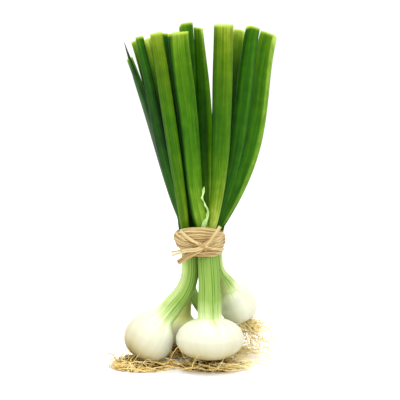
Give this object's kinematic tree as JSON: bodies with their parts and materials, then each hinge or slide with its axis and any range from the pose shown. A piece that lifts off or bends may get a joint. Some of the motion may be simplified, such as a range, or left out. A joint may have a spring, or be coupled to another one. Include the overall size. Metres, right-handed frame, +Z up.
{
  "type": "spring onion bunch",
  "caption": "Bunch of bulbing spring onions tied with raffia, white bulbs with straw-coloured roots below and cut green leaves fanned out above.",
  "frame": {"origin": "on the surface the bunch stands on, under the middle of its outline", "axes": "+Z up, -Y towards the front, where the raffia knot is; +X to the right seen from the front"},
  "size_m": [0.1294, 0.091, 0.2743],
  "materials": {
    "bulb_and_stalk": "satin",
    "leaf": "satin",
    "roots": "matte",
    "raffia": "matte"
  },
  "bodies": {
    "root": {"onion_front": "bulb_and_stalk", "onion_left": "bulb_and_stalk", "onion_right": "bulb_and_stalk", "onion_rear_left": "bulb_and_stalk", "onion_rear_right": "bulb_and_stalk", "leaf_front_right": "leaf", "leaf_front_left": "leaf", "leaf_front_inner": "leaf", "leaf_left_front": "leaf", "leaf_left_middle": "leaf", "leaf_left_pointed": "leaf", "leaf_right_outer": "leaf", "leaf_right_middle": "leaf", "leaf_right_rear": "leaf", "leaf_rear_left_front": "leaf", "leaf_rear_left_middle": "leaf", "leaf_rear_left_rear": "leaf", "leaf_rear_right_front": "leaf", "leaf_rear_right_outer": "leaf", "leaf_rear_right_rear": "leaf", "roots_front": "roots", "roots_left": "roots", "roots_right": "roots", "roots_rear_left": "roots", "roots_rear_right": "roots", "raffia_band": "raffia", "raffia_knot": "raffia", "raffia_tail_up": "raffia", "raffia_tail_left_upper": "raffia", "raffia_tail_left_lower": "raffia"}
  },
  "joints": []
}
